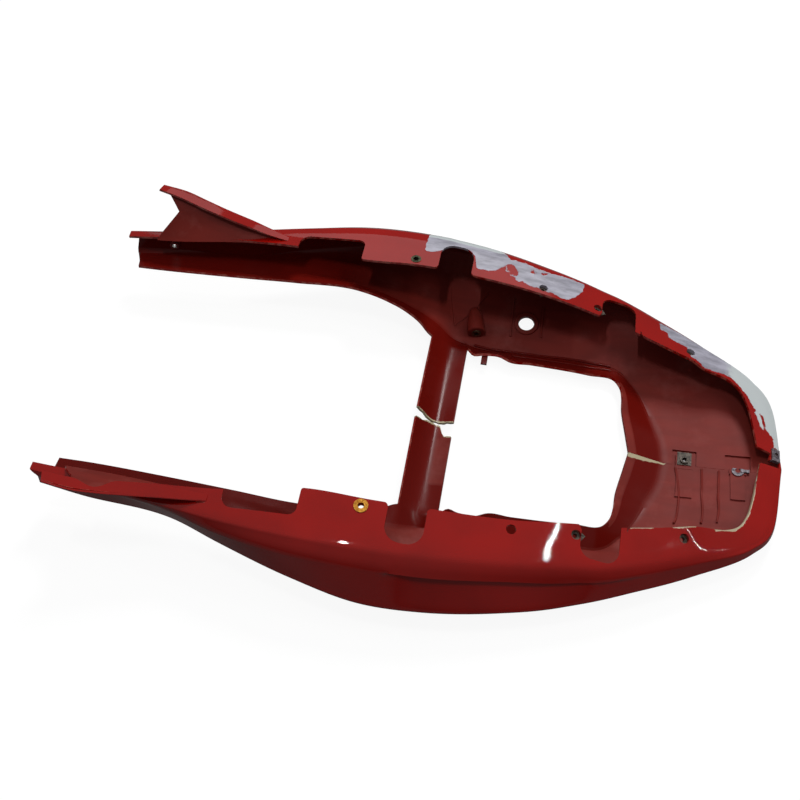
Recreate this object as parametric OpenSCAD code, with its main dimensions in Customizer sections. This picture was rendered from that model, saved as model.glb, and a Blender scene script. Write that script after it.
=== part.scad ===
// Seat cowl of a motorcycle, two moulded halves lying upside down on their deck.
// +X points to the tail, +Y to the half with the lock hole, +Z up. All sizes in millimetres.

/* [Overall] */
// Length from the front lips to the tail tip
cowl_len = 764; // [700:1:820]
// Width over both side walls
cowl_w = 472; // [430:1:520]
// Height from the deck to the fin tips
cowl_h = 126; // [115:1:140]

/* [Moulding] */
// Thickness of the moulded wall
wall_t = 3; // [2.4:0.1:3.6]
// Height of the moulding ribs above the wall
rib_h = 2; // [1:0.1:4]
// Thickness of a moulding rib
rib_t = 2; // [1.4:0.1:3]
// Depth of the scoop pressed into each side
scoop_d = 8; // [3:0.5:10]
// Radius of the rolled shoulder
shoulder_r = 9; // [5:0.5:12]
// Gap left at the seam between the halves
seam_gap = 0.3; // [0.2:0.1:1]

/* [Flange] */
// Width of the front notch in the flange
notch_w = 38; // [30:1:46]
// Width of the rear notch in the flange
rear_notch_w = 39; // [30:1:46]
// Length of the relief behind the fin
relief_w = 76; // [60:1:84]
// Diameter of the fixing holes in the flange
hole_d = 10; // [8:0.2:11.6]

/* [Deck] */
// Diameter of the lock hole
lock_d = 18.4; // [14:0.2:22]
// Outer diameter of the ring round the lock hole
lock_ring_d = 28; // [26:0.5:34]
// Height of the ring round the lock hole
lock_ring_h = 2.5; // [1.5:0.1:5]
// Diameter of the dome boss at its open end
boss_d = 21; // [17:0.5:25]
// Width of the lap tongues
tongue_w = 18; // [17:0.5:20]
// Thickness of the lap tongues
tongue_t = 1.8; // [1.2:0.1:2.4]

/* [Metal] */
// Diameter of the yellow grommet head
head_d = 14.4; // [13:0.2:18]
// Bore of the grommets
grommet_bore = 6.2; // [5:0.1:7]
// Side of the square spring nuts
nut_side = 15; // [14:0.5:18]
// Bore of the spring nuts and seam clips
nut_bore = 4.8; // [4:0.1:5.4]
// Bore of the threaded inserts
insert_bore = 5; // [4:0.1:5.6]

/* [Hidden] */

// The guide curves below are set for these sizes and follow the sizes above.
guide_len = 764;
guide_w = 472;
guide_h = 126;
k_len = cowl_len / guide_len;
k_w = cowl_w / guide_w;
k_h = cowl_h / guide_h;
mid_x = 32;

// Guide curves of one half, each row [station, x, y, z] on the outer face.
// flange_g is the free edge, shoulder_g the rolled edge, upper_g and lower_g bound the scoop,
// bilge_g is the widest line, deck_g lies half way in, foot_g and rim_g edge the raised frame.
flange_g = [[-350, -350, 157, 77], [-300, -300, 161, 80], [-200, -200, 165, 88], [-150, -150, 163, 92],
    [-70, -70, 151, 98], [0, 0, 153, 99], [60, 60, 151, 95], [135, 135, 145, 87], [200, 200, 133, 78],
    [240, 244, 124, 68], [262, 300, 108, 58], [265, 308, 105.5, 57],
    [270.5, 322, 100, 51], [278, 350, 95, 44], [289, 373, 70, 37], [300, 388, 0, 32]];
shoulder_g = [[-350, -350, 166, 77], [-300, -300, 172, 79], [-200, -200, 188, 84], [-150, -150, 195, 88],
    [-70, -70, 203, 94], [0, 0, 204, 95], [60, 60, 200, 91], [135, 135, 190, 82], [200, 200, 177, 71],
    [240, 252, 162, 60], [262, 317, 133, 48], [278, 372, 103, 36], [289, 397, 73, 30], [300, 408, 0, 26]];
upper_g = [[-350, -342, 169, 70], [-300, -300, 174, 72], [-200, -200, 187, 74], [-150, -150, 202, 75],
    [-70, -70, 216, 79], [0, 0, 218, 79], [60, 60, 215, 75], [135, 135, 202, 67], [200, 200, 187, 57],
    [240, 255, 169, 49], [262, 321, 138, 41], [278, 379, 106, 32], [289, 402, 75, 27], [300, 412, 0, 24]];
bilge_g = [[-350, -346, 166, 52], [-300, -300, 172, 50], [-200, -200, 181, 47], [-150, -150, 199, 48],
    [-70, -70, 223, 45], [0, 0, 236, 41], [60, 60, 234, 39], [135, 135, 221, 37], [200, 200, 201, 34],
    [240, 258, 176, 31], [262, 322, 144, 28], [278, 380, 108, 25], [289, 403, 76, 22], [300, 413, 0, 20]];
turn_g = [[-350, -345, 160, 45], [-300, -300, 165, 45], [-200, -200, 172, 44], [-150, -150, 188, 42],
    [-70, -70, 208, 34], [0, 0, 220, 28], [60, 60, 218, 24], [135, 135, 204, 22], [200, 200, 186, 20],
    [240, 250, 160, 18], [262, 312, 132, 16], [278, 370, 100, 14], [289, 392, 70, 12], [300, 402, 0, 11]];
deck_g = [[-350, -341, 150, 46], [-300, -300, 152, 46], [-200, -200, 155, 46], [-150, -150, 162, 46],
    [-70, -70, 175, 36], [0, 0, 175, 22], [60, 60, 168, 10], [135, 135, 160, 9], [200, 200, 148, 8],
    [240, 245, 130, 8], [262, 290, 105, 7], [278, 335, 78, 6], [289, 350, 50, 5], [300, 356, 0, 5]];
foot_g = [[-350, -338, 143, 48], [-300, -300, 143, 48], [-200, -200, 145, 49], [-150, -150, 148, 50],
    [-70, -70, 152, 46], [-15, -15, 143, 34], [17, 17, 137, 20], [40, 40, 127, 5], [60, 60, 123, 0.5],
    [135, 135, 121, 0], [200, 200, 120, 0], [240, 240, 111, 0], [262, 262, 82, 0], [278, 275, 54, 0],
    [289, 286, 28, 0], [300, 291, 0, 0]];
rim_g = [[-350, -336, 134, 50], [-300, -300, 134, 51], [-200, -200, 138, 52], [-150, -150, 141, 52],
    [-70, -70, 143, 50], [-40, -40, 138, 45], [-15, -15, 131, 38], [2, 2, 123, 31], [12, 12, 115, 26],
    [17, 17, 112, 24], [24, 24, 112, 18], [32, 32, 112, 13], [48, 48, 112, 10], [60, 60, 110, 11],
    [66, 66, 103, 12], [80, 80, 104.5, 12], [100, 100, 104.5, 12], [108, 108, 100.5, 12],
    [135, 135, 100, 12], [200, 200, 97, 12], [240, 232, 92, 12],
    [250, 237, 84, 12], [262, 239.5, 72, 12], [278, 241, 50, 12], [289, 246, 25, 12], [300, 251, 0, 12]];
GUIDES = [flange_g, shoulder_g, upper_g, bilge_g, turn_g, deck_g, foot_g, rim_g];

// Slope of a guide at row i, weighted by the distance to its neighbours.
function lean(g, i) = let (n = len(g) - 1, p = function(j) [g[j].y, g[j].z, g[j][3]])
    i == 0 ? (p(1) - p(0)) / (g[1].x - g[0].x)
    : i == n ? (p(n) - p(n - 1)) / (g[n].x - g[n - 1].x)
    : let (a = g[i].x - g[i - 1].x, b = g[i + 1].x - g[i].x)
      ((p(i) - p(i - 1)) / a * b + (p(i + 1) - p(i)) / b * a) / (a + b);
function row_at(g, u, i = 0) = i >= len(g) - 2 || u <= g[i + 1].x ? i : row_at(g, u, i + 1);
// Point of a guide at station u, as a smooth curve through its rows.
function guide(g, u) = let (i = row_at(g, u), h = g[i + 1].x - g[i].x, t = (u - g[i].x) / h,
        p = [g[i].y, g[i].z, g[i][3]], q = [g[i + 1].y, g[i + 1].z, g[i + 1][3]],
        c = (2 * t ^ 3 - 3 * t ^ 2 + 1) * p + (t ^ 3 - 2 * t ^ 2 + t) * h * lean(g, i)
          + (3 * t ^ 2 - 2 * t ^ 3) * q + (t ^ 3 - t ^ 2) * h * lean(g, i + 1))
    [(c.x - mid_x) * k_len, c.y * k_w, c.z * k_h];

function unit(v) = v / norm(v);
function mix(a, b, t) = a + (b - a) * t;
function between(a, b, c, d) = (9 * (b + c) - a - d) / 16;
// How deep the scoop is at a station: none before 20, full from 60 to 160, none past 248.
function scoop(u) = scoop_d * (u <= 18 || u >= 248 ? 0 : min(1, (u - 18) / 34) * min(1, (248 - u) / 90));

// One section of the outer face, from the flange's free edge to the rim.
function section(u) = let (p = [for (g = GUIDES) guide(g, u)],
        a = p[0], s = p[1], w = p[2], e = p[3], b = p[4], c = p[5], d = p[6], r = p[7],
        low = mix(w, e, 0.86),
        dent = unit([0, -1, 0.1]) * scoop(u),
        s1 = s + shoulder_r * min(1, norm(a - s) / 30) * unit(a - s),
        s2 = s + shoulder_r * min(1, norm(a - s) / 30) * unit(w - s))
    [a, mix(a, s1, 0.5), s1, (s1 + 2 * s + s2) / 4, s2, w, mix(w, low, 0.1) + dent,
     mix(w, low, 0.5) + 0.55 * dent, low, e, between(low, e, b, c), b, between(e, b, c, d), c,
     between(b, c, d, d), d, mix(d, r, 0.75), r];

STATIONS = [for (u = [-350:25:-75]) u, for (u = [-58:12:2]) u, 12, 17, 24, 32, 40, 46, 49, 60, 66, 73,
    for (u = [84:12:108]) u, for (u = [122:14:192]) u, for (u = [206:8:230]) u,
    for (u = [237:5.5:259]) u, 263.5, 267, 271.5, for (u = [277:5.5:293.5]) u, 300];
NU = len(STATIONS);
RAW = [for (u = STATIONS) section(u)];
NV = len(RAW[0]);
// The halves are centred along X, and their lowest point rests on zero.
RAW_X = [for (r = RAW, p = r) p.x];
RAW_Z = [for (r = RAW, p = r) p.z];
shift = [-(min(RAW_X) + max(RAW_X)) / 2, 0, -min(RAW_Z)];
OUT = [for (i = [0:NU - 1]) [for (p = RAW[i]) i < NU - 1 ? p + shift : on_seam(p + shift)]];
IN = [for (i = [0:NU - 1]) [for (j = [0:NV - 1]) let (p = OUT[i][j] - wall_t * normal(OUT, i, j))
    i < NU - 1 ? p : on_seam(p)]];
function on_seam(p) = [p.x, seam_gap / 2, p.z];
function place(x, y, z) = [(x - mid_x) * k_len, y * k_w, z * k_h] + shift;
// Outward direction of a grid of points at one of its points.
function normal(g, i, j) = let (
        du = g[min(i + 1, len(g) - 1)][j] - g[max(i - 1, 0)][j],
        dv = g[i][min(j + 1, len(g[0]) - 1)] - g[i][max(j - 1, 0)])
    unit(cross(du, dv));

// Place on the inner face at station u and section place v, raised by h towards the inside.
function cell(u, i = 0) = i >= NU - 2 || u < STATIONS[i + 1] ? i : cell(u, i + 1);
function patch(g, i, j, t, s) = mix(mix(g[i][j], g[i][j + 1], s), mix(g[i + 1][j], g[i + 1][j + 1], s), t);
function spot(u, v, h = 0) = let (i = cell(u), t = (u - STATIONS[i]) / (STATIONS[i + 1] - STATIONS[i]),
        j = min(floor(v), NV - 2), o = patch(OUT, i, j, t, v - j), n = patch(IN, i, j, t, v - j))
    n + h * unit(n - o);
module along(p, d) {
    translate(p) rotate([0, acos(d.z / norm(d)), atan2(d.y, d.x)]) children();
}
// Puts a child on the inner face, with its Z towards the inside.
module seat(u, v, h = 0) {
    along(spot(u, v, h), spot(u, v, 1) - spot(u, v, 0)) children();
}

// Faces between the rows of two grids that start at points a and b, closed all round.
function flat(l) = [for (r = l) each r];
function skin(nu, nv, a, flip) = [for (i = [0:nu - 2], j = [0:nv - 2], h = [0, 1])
    let (p = a + i * nv + j, q = p + nv, t = h == 0 ? [p, p + 1, q + 1] : [p, q + 1, q])
    flip ? [t[2], t[1], t[0]] : t];
function strip(e, f) = [for (k = [0:len(e) - 2], h = [0, 1])
    h == 0 ? [e[k], e[k + 1], f[k + 1]] : [e[k], f[k + 1], f[k]]];
// A closed sheet between two grids, the first on the side that the grid's normal points to.
module sheet(A, B) {
    nu = len(A);
    nv = len(A[0]);
    n = nu * nv;
    first = [for (j = [0:nv - 1]) j];
    last = [for (j = [0:nv - 1]) (nu - 1) * nv + nv - 1 - j];
    near = [for (i = [0:nu - 1]) (nu - 1 - i) * nv];
    far = [for (i = [0:nu - 1]) i * nv + nv - 1];
    rim = concat(first, [for (i = [1:nu - 1]) far[i]], [for (j = [1:nv - 1]) last[j]],
        [for (i = [1:nu - 1]) near[i]]);
    under = [for (k = rim) k + n];
    polyhedron(points = concat(flat(A), flat(B)),
        faces = concat(skin(nu, nv, 0, false), skin(nu, nv, n, true), strip(under, rim)));
}

// The broken cross bar joins the rim between stations 17 and 60, in BAR_V steps to its end.
BAR_0 = search(17, STATIONS)[0];
BAR_1 = search(60, STATIONS)[0];
BAR_Y = [90, 68, 46, 24];
bar_mid_z = [33, 25, 18, 15, 14.5, 15.5, 19];
left_end = [6, 4, 1, 0.5, 0.5, 0.5, 0.5];
right_end = [5.5, 4.5, 1.5, 2, 4, 16, 17];
function bar_row(i, ends) = let (r = OUT[i][NV - 1] - shift, k = i - BAR_0, y0 = r.y / k_w,
        ys = concat(BAR_Y, [ends[k]]))
    [for (y = ys) let (t = pow((y0 - y) / y0, 0.8))
        [r.x, y * k_w, mix(r.z, bar_mid_z[k] * k_h, t)] + shift];
module shell(ends) {
    n = NU * NV;
    nb = len(BAR_Y) + 1;
    rows = [for (i = [BAR_0:BAR_1]) concat([OUT[i][NV - 2], OUT[i][NV - 1]], bar_row(i, ends))];
    nr = len(rows);
    m = nr * nb;
    bar_out = [for (r = rows) [for (k = [2:nb + 1]) r[k]]];
    bar_in = [for (i = [0:nr - 1]) [for (k = [2:nb + 1]) rows[i][k] - wall_t * normal(rows, i, k)]];
    o = function(i, j) j < NV ? i * NV + j : 2 * n + (i - BAR_0) * nb + j - NV;
    d = function(i, j) j < NV ? n + i * NV + j : 2 * n + m + (i - BAR_0) * nb + j - NV;
    loop = [
        [for (j = [0:NV - 1]) [0, j]], [for (i = [1:BAR_0]) [i, NV - 1]],
        [for (k = [0:nb - 1]) [BAR_0, NV + k]], [for (i = [BAR_0 + 1:BAR_1]) [i, NV + nb - 1]],
        [for (k = [1:nb]) [BAR_1, NV + nb - 1 - k]], [for (i = [BAR_1 + 1:NU - 1]) [i, NV - 1]],
        [for (j = [1:NV - 1]) [NU - 1, NV - 1 - j]], [for (i = [1:NU - 1]) [NU - 1 - i, 0]]];
    edge = [for (l = loop) each l];
    polyhedron(points = concat(flat(OUT), flat(IN), flat(bar_out), flat(bar_in)), faces = concat(
        skin(NU, NV, 0, false), skin(NU, NV, n, true),
        [for (i = [BAR_0:BAR_1 - 1], j = [NV - 1:NV + nb - 2], h = [0, 1]) h == 0
            ? [o(i, j), o(i, j + 1), o(i + 1, j + 1)] : [o(i, j), o(i + 1, j + 1), o(i + 1, j)]],
        [for (i = [BAR_0:BAR_1 - 1], j = [NV - 1:NV + nb - 2], h = [0, 1]) h == 0
            ? [d(i, j), d(i + 1, j + 1), d(i, j + 1)] : [d(i, j), d(i + 1, j), d(i + 1, j + 1)]],
        strip([for (e = edge) d(e[0], e[1])], [for (e = edge) o(e[0], e[1])])));
}

// Fin over each arm: a leaning panel with a turned strip along its top, sunk in the lip.
fin_base = [[0, -315, 167, 79.2], [2, -290, 168, 80.6], [4, -262, 170, 83], [6, -236, 172.5, 85.2],
    [8, -205, 175.5, 86.6], [10, -178, 177.5, 88.6], [11, -162, 178, 90]];
fin_mid = [[0, -292, 183, 102], [2, -276, 184, 100.5], [4, -256, 184, 98], [6, -234, 183, 95.5],
    [8, -205, 182, 93], [10, -178, 180, 91.5], [11, -162, 178.5, 92]];
fin_top = [[0, -312, 203, 123], [2, -286, 203.5, 117], [4, -262, 199.5, 110.5], [6, -238, 194.5, 105],
    [8, -208, 188.5, 99.5], [10, -180, 182.5, 95], [11, -161, 178.3, 93.6]];
fin_lip = [[0, -314, 191, 126], [2, -288, 189.3, 118], [4, -264, 184.5, 112], [6, -240, 179.5, 107.5],
    [8, -209, 174, 102], [10, -182, 171.5, 96], [11, -161, 170, 94]];
FIN_T = [0, 1, for (t = [2:0.5:6]) t, for (t = [7:1:11]) t];
// Share of the strip that is worn away in the dip of one fin.
function dip(t) = t <= 2 || t >= 5.6 ? 0 : 0.5 * pow(sin(180 * (t - 2) / 3.6), 2);
module fin(worn) {
    g = [for (t = FIN_T) let (b = guide(fin_base, t) + shift - [0, 0, wall_t / 2],
            m = guide(fin_mid, t) + shift, s = guide(fin_top, t) + shift,
            a = mix(guide(fin_lip, t) + shift, s, worn * dip(t)))
        [b, mix(b, m, 0.5), m, s + 3 * unit(m - s), s + 2.5 * unit(a - s), a]];
    inner = [for (i = [0:len(g) - 1]) [for (j = [0:len(g[0]) - 1])
        j == 0 ? g[i][j] - [0, 1.3 * wall_t, 0] : g[i][j] + 0.85 * wall_t * normal(g, i, j)]];
    sheet(inner, g);
}

// A low rib along a path of [u, v] places, rooted in the wall.
module rib(path) {
    n = len(path);
    c = [for (p = path) spot(p[0], p[1])];
    up = [for (p = path) unit(spot(p[0], p[1], 1) - spot(p[0], p[1]))];
    w = [for (k = [0:n - 1]) rib_t / 2 * unit(cross(c[min(k + 1, n - 1)] - c[max(k - 1, 0)], up[k]))];
    sheet([for (k = [0:n - 1]) [c[k] - w[k] - wall_t / 2 * up[k], c[k] + w[k] - wall_t / 2 * up[k]]],
        [for (k = [0:n - 1]) [c[k] - w[k] + rib_h * up[k], c[k] + w[k] + rib_h * up[k]]]);
}
function line(a, b, n) = [for (k = [0:n]) mix(a, b, k / n)];
// A raised pad between four [u, v] corners: low u low v, high u low v, low u high v, high u high v.
module pad(a, b, c, d, h) {
    g = [for (i = [0:5]) [for (j = [0:4]) mix(mix(a, b, i / 5), mix(c, d, i / 5), j / 4)]];
    sheet([for (r = g) [for (p = r) spot(p[0], p[1], -wall_t / 2)]],
        [for (r = g) [for (p = r) spot(p[0], p[1], h)]]);
}

// Cuts straight down through the flange: a notch open to the inside, with rounded bottom corners.
module notch(x, w, y, r, r2, z) {
    p = place(x, y, z);
    arc = function(cx, cr, a0) [for (a = [0:15:90]) [cx + cr * cos(a0 - a), p.y - cr + cr * sin(a0 - a)]];
    translate([p.x, 0, p.z]) linear_extrude(60) polygon(concat([[-w / 2, p.y - 70]],
        arc(-w / 2 + r, r, 180), arc(w / 2 - r2, r2, 90), [[w / 2, p.y - 70]]));
}
pad_d = 16.5;
pad_h = 1;
// Flat ring moulded under a fixing hole, and the bore through it.
module hole_pad(p) { seat(p[0], p[1], -wall_t / 2) cylinder(d = pad_d, h = wall_t / 2 + pad_h, $fn = 48); }
module hole_cut(p, d) { seat(p[0], p[1], -2 * wall_t) cylinder(d = d, h = 4 * wall_t, $fn = 48); }
hole_1 = [-9.9, 0.39];
hole_2 = [136, 0.53];
hole_3 = [199.5, 0.62];
hole_4 = [262.1, 1.08];
HOLES = [hole_1, hole_2, hole_3, hole_4];

// Frame of a lap on the seam: X along the seam's inner edge, Z up, centre on the seam.
module lap(v0, v1) {
    p = spot(300, v0);
    q = spot(300, v1);
    translate([(p.x + q.x) / 2, 0, (p.z + q.z) / 2]) rotate([0, -atan2(q.z - p.z, q.x - p.x), 0]) children();
}
module front_lap() { lap(14.56, 13.95) children(); }
module rear_lap() { lap(12.76, 12.19) children(); }
lap_len = 14;
screw_y = 5;
module tongue(tip) {
    translate([-tongue_w / 2, -tip, 0]) cube([tongue_w, tip + 0.7, tongue_t]);
    translate([-tongue_w / 2, 0.6, -wall_t / 2]) cube([tongue_w, 5, wall_t / 2 + tongue_t]);
}
module pocket(w) {
    translate([-w / 2, -1, -0.6 * wall_t]) cube([w, lap_len + 6, 30]);
}

// Frame of the tail clip: Z off the outer face, X away from the opening, Y away from the seam.
tab_at = [298, 2.7];
tab_w = 9.5;
tab_l = 14;
land_h = 1;
module tail_frame() {
    p = spot(tab_at[0], tab_at[1], -wall_t);
    along(p, spot(tab_at[0], tab_at[1], -wall_t - 1) - p) children();
}
// Where the far flange is broken off at the tail, beside the land and past it.
module broken_end() {
    tail_frame() {
        translate([-34, -24, -9]) cube([34 + tab_w / 2 + 0.25, 24 - tab_l / 2, 18]);
        translate([-tab_w / 2, 1.5, -9]) rotate([0, 0, -12]) translate([-30, -26, 0]) cube([30, 26, 18]);
        translate([0, 0, -9]) cylinder(d = nut_bore + 1.6, h = 18, $fn = 32);
    }
}

boss_a = spot(59.7, 12.9, 2.5);
boss_b = spot(65.7, 14.27, 8);
insert_d = 8;
module half(ends, worn) {
    shell(ends);
    fin(worn);
    for (p = HOLES) hole_pad(p);
}
module cuts() {
    notch(35, notch_w, 192, 16, 16, 60);
    notch(223.5, rear_notch_w, 164, 12, 14, 46);
    notch(-109, relief_w, 181, 12, 8, 60);
    for (p = [hole_2, hole_3, hole_4]) hole_cut(p, hole_d);
    hole_cut(hole_1, barrel_d + 0.2);
}
module left_cowl_half() {
    color("firebrick") difference() {
        union() {
            half(left_end, 0);
            rib(line([104.2, 11.91], [106.7, 13.86], 6));
            rib(line([140.2, 11.98], [142.1, 13.62], 6));
            pad([27.6, 12.24], [74, 11.98], [38.5, 14.14], [56.6, 13.15], 1.2);
            along(boss_a, boss_b - boss_a) cylinder(d1 = 9, d2 = boss_d, h = norm(boss_b - boss_a), $fn = 48);
            seat(123.1, 13.04, -wall_t / 2) cylinder(d = lock_ring_d, h = wall_t / 2 + lock_ring_h, $fn = 64);
            translate(place(81, 101, 9.6)) cube([7, 14, 2.2], center = true);
            seat(arm_at[0], arm_at[1], -wall_t / 2) cylinder(d = 15, h = wall_t / 2 + pad_h, $fn = 48);
            tail_frame() translate([-tab_w / 2, -tab_l / 2 - 0.2, -1.1]) linear_extrude(1.1 + land_h)
                polygon([[0, 0], [tab_w, 0], [tab_w - 0.4, tab_l], [tab_w / 2, tab_l + 3], [0.4, tab_l]]);
        }
        cuts();
        broken_end();
        seat(123.1, 13.04, -9) cylinder(d = lock_d, h = 18, $fn = 64);
        along(boss_b, boss_a - boss_b) translate([0, 0, -5]) cylinder(d = insert_d + 0.2, h = 13, $fn = 32);
        hole_cut(arm_at, insert_d + 0.2);
        front_lap() pocket(26);
        rear_lap() pocket(27);
        front_lap() translate([0, screw_y, -9]) cylinder(d = nut_bore + 1.6, h = 18, $fn = 32);
    }
}
module right_cowl_half() {
    color("brown") mirror([0, 1, 0]) difference() {
        union() {
            half(right_end, 1);
            rib(line([274.3, 13.74], [298.4, 14.54], 8));
            rib([[279.9, 13.18], [285, 13.38], [290.9, 13.54], [295.5, 13.62], [299.3, 13.67]]);
            rib([[283.4, 12.79], [288, 12.95], [292.3, 13.08], [296, 13.13], [299.3, 13.16]]);
            pad([288.7, 13.79], [299, 13.95], [286.6, 14.3], [299, 14.56], tongue_t - 0.3);
            pad([293.6, 12.04], [299, 12.19], [292.7, 12.61], [299, 12.76], tongue_t - 0.3);
            front_lap() tongue(lap_len);
            rear_lap() tongue(1.5);
        }
        cuts();
        front_lap() translate([0, -screw_y, -9]) cylinder(d = nut_bore + 1.6, h = 18, $fn = 32);
    }
}

// Metal pieces. A grommet stands in the hole of the flange, its head on the outer face.
barrel_d = 9.6;
module grommet(d, t) {
    rotate_extrude($fn = 48) polygon([[grommet_bore / 2, -wall_t - lift - t],
        [grommet_bore / 2, pad_h + 2], [barrel_d / 2, pad_h + 2], [barrel_d / 2, -wall_t - lift],
        [d / 2, -wall_t - lift], [d / 2, -wall_t - lift - t]]);
}
lift = 0.05;
module left_grommet() { color("olivedrab") seat(hole_1[0], hole_1[1]) grommet(11.4, 0.5); }
module right_grommet() {
    color("gold") mirror([0, 1, 0]) seat(hole_1[0], hole_1[1]) grommet(head_d, 0.8);
}
// A square spring nut flat under its hole, with a pressed collar.
module spring_nut() {
    translate([0, 0, pad_h]) difference() {
        union() {
            translate([-nut_side / 2, -nut_side / 2, 0]) cube([nut_side, nut_side, 1.2]);
            cylinder(d = 9, h = 4.5, $fn = 48);
        }
        translate([0, 0, -1]) cylinder(d = nut_bore, h = 7, $fn = 32);
    }
}
module left_spring_nut_2() { color("dimgray") seat(hole_2[0], hole_2[1]) spring_nut(); }
module left_spring_nut_3() { color("dimgray") seat(hole_3[0], hole_3[1]) spring_nut(); }
module left_spring_nut_4() { color("dimgray") seat(hole_4[0], hole_4[1]) spring_nut(); }
module right_spring_nut_3() { color("dimgray") mirror([0, 1, 0]) seat(hole_3[0], hole_3[1]) spring_nut(); }
module right_spring_nut_4() { color("dimgray") mirror([0, 1, 0]) seat(hole_4[0], hole_4[1]) spring_nut(); }
// The front clip folds round the tip of the lap tongue, its collar above.
module seam_clip_front() {
    color("darkslategray") front_lap() difference() {
        union() {
            translate([-7.5, -1, tongue_t]) cube([15, lap_len + 2, 1]);
            translate([-7.5, lap_len, -1]) cube([15, 1, tongue_t + 2]);
            translate([-6, 0.3, -1]) cube([12, lap_len + 0.7, 1]);
            translate([0, screw_y, tongue_t]) cylinder(d = 9.5, h = 2.8, $fn = 48);
        }
        translate([0, screw_y, -3]) cylinder(d = nut_bore, h = 12, $fn = 32);
    }
}
// Half of the rear clip is left, on the stump of the broken tongue.
module seam_clip_rear() {
    color("slategray") rear_lap() difference() {
        union() {
            translate([0, -1.5, tongue_t]) cylinder(d = 13, h = 1.2, $fn = 48);
            translate([3, -3.2, tongue_t]) cube([9, 3.4, 1.6]);
        }
        translate([0, -1.5, 0]) cylinder(d = nut_bore + 1, h = 9, $fn = 32);
        translate([-9, 1.2, 0]) cube([18, 9, 9]);
    }
}
arm_at = [-302, 7.5];
module insert(l) {
    difference() {
        union() {
            translate([0, 0, -l]) cylinder(d = insert_d, h = l, $fn = 32);
            cylinder(d = 11, h = 1.2, $fn = 48);
        }
        translate([0, 0, -l - 1]) cylinder(d = insert_bore, h = l + 4, $fn = 32);
    }
}
module boss_insert() { color("darkkhaki") along(boss_b, boss_b - boss_a) insert(7); }
module arm_insert() { color("silver") seat(arm_at[0], arm_at[1], pad_h) insert(3); }
// The tail clip lies on the land at the far flange's broken end, folded down over it.
module tail_tab() {
    color("gray") tail_frame() difference() {
        union() {
            translate([-tab_w / 2, -tab_l / 2 - 1, land_h]) cube([tab_w, tab_l + 1, 1.2]);
            translate([-tab_w / 2, -tab_l / 2 - 1, -2]) cube([tab_w, 1, land_h + 2.5]);
            translate([0, 0, land_h]) cylinder(d = 7, h = 2, $fn = 48);
        }
        translate([0, 0, -3]) cylinder(d = nut_bore, h = 9, $fn = 32);
    }
}

left_cowl_half();
right_cowl_half();
left_grommet();
right_grommet();
left_spring_nut_2();
left_spring_nut_3();
left_spring_nut_4();
right_spring_nut_3();
right_spring_nut_4();
seam_clip_front();
seam_clip_rear();
tail_tab();
boss_insert();
arm_insert();
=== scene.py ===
"""Dresses the seat cowl: smooth moulded halves, painted, peeled and bare surfaces, fixings, studio."""
import math
import bpy
import numpy as np
from mathutils import Matrix, Vector
from mathutils.kdtree import KDTree


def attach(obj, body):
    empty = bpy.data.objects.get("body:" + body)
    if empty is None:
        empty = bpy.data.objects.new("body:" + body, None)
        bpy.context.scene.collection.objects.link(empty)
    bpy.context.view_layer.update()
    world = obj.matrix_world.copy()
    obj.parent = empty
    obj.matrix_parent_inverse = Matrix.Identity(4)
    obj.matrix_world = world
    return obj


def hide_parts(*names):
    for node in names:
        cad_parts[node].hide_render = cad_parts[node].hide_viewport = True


bl_info = {
    "name": "Seat cowl",
    "version": (1, 0, 0),
    "blender": (4, 5, 0),
    "location": "3D View > Sidebar > Seat cowl",
    "description": "Builds and finishes a motorcycle seat cowl in two mouldings",
    "category": "Object",
}

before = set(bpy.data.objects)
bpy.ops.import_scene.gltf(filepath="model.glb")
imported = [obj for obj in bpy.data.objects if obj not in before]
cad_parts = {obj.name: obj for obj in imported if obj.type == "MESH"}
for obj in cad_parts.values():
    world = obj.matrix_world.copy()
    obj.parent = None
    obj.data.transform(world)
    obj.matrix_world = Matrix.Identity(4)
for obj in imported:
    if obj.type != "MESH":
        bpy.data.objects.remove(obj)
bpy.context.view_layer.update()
MM = 0.001
MID_X = 32.0  # x of the tables at the middle of the part, in millimetres
TABLE_X = 31.8  # what is added to x in the model to give x in the tables


def linear(text):
    """A colour written as an sRGB hex value, as the linear RGBA that the shaders take."""
    parts = [int(text[i:i + 2], 16) / 255 for i in (1, 3, 5)]
    return tuple(p / 12.92 if p <= 0.04045 else ((p + 0.055) / 1.055) ** 2.4 for p in parts) + (1.0,)


# Sizes and colours
def size(name, text, value, low, high):
    return bpy.props.FloatProperty(name=name, description=text, default=value * MM, min=low * MM,
                                   max=high * MM, unit="LENGTH", precision=5)


def paint(name, text, value):
    return bpy.props.FloatVectorProperty(name=name, description=text, default=linear(value), size=4,
                                         min=0, max=1, subtype="COLOR")


class CowlSizes(bpy.types.PropertyGroup):
    wall: size("Wall", "Thickness of the moulded wall", 3, 2.4, 3.6)
    shoulder: size("Shoulder", "Radius of the rolled shoulder", 9, 5, 12)
    scoop: size("Scoop", "Depth of the scoop in each side", 8, 3, 10)
    seam: size("Seam", "Gap between the halves at the seam", 0.3, 0.2, 1)
    rib_height: size("Rib height", "Height of the moulding ribs", 2, 1, 4)
    rib_width: size("Rib width", "Thickness of the moulding ribs", 2, 1.4, 3)
    hole: size("Flange hole", "Diameter of the fixing holes in the flange", 10, 8, 11.6)
    lock: size("Lock hole", "Diameter of the lock hole", 18.4, 14, 22)
    lock_ring: size("Lock ring", "Outer diameter of the ring round the lock hole", 28, 26, 34)
    boss: size("Boss", "Diameter of the dome boss at its open end", 21, 17, 25)
    step: size("Mesh step", "Distance between the rows of the smooth mesh", 4, 2.5, 12)


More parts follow.
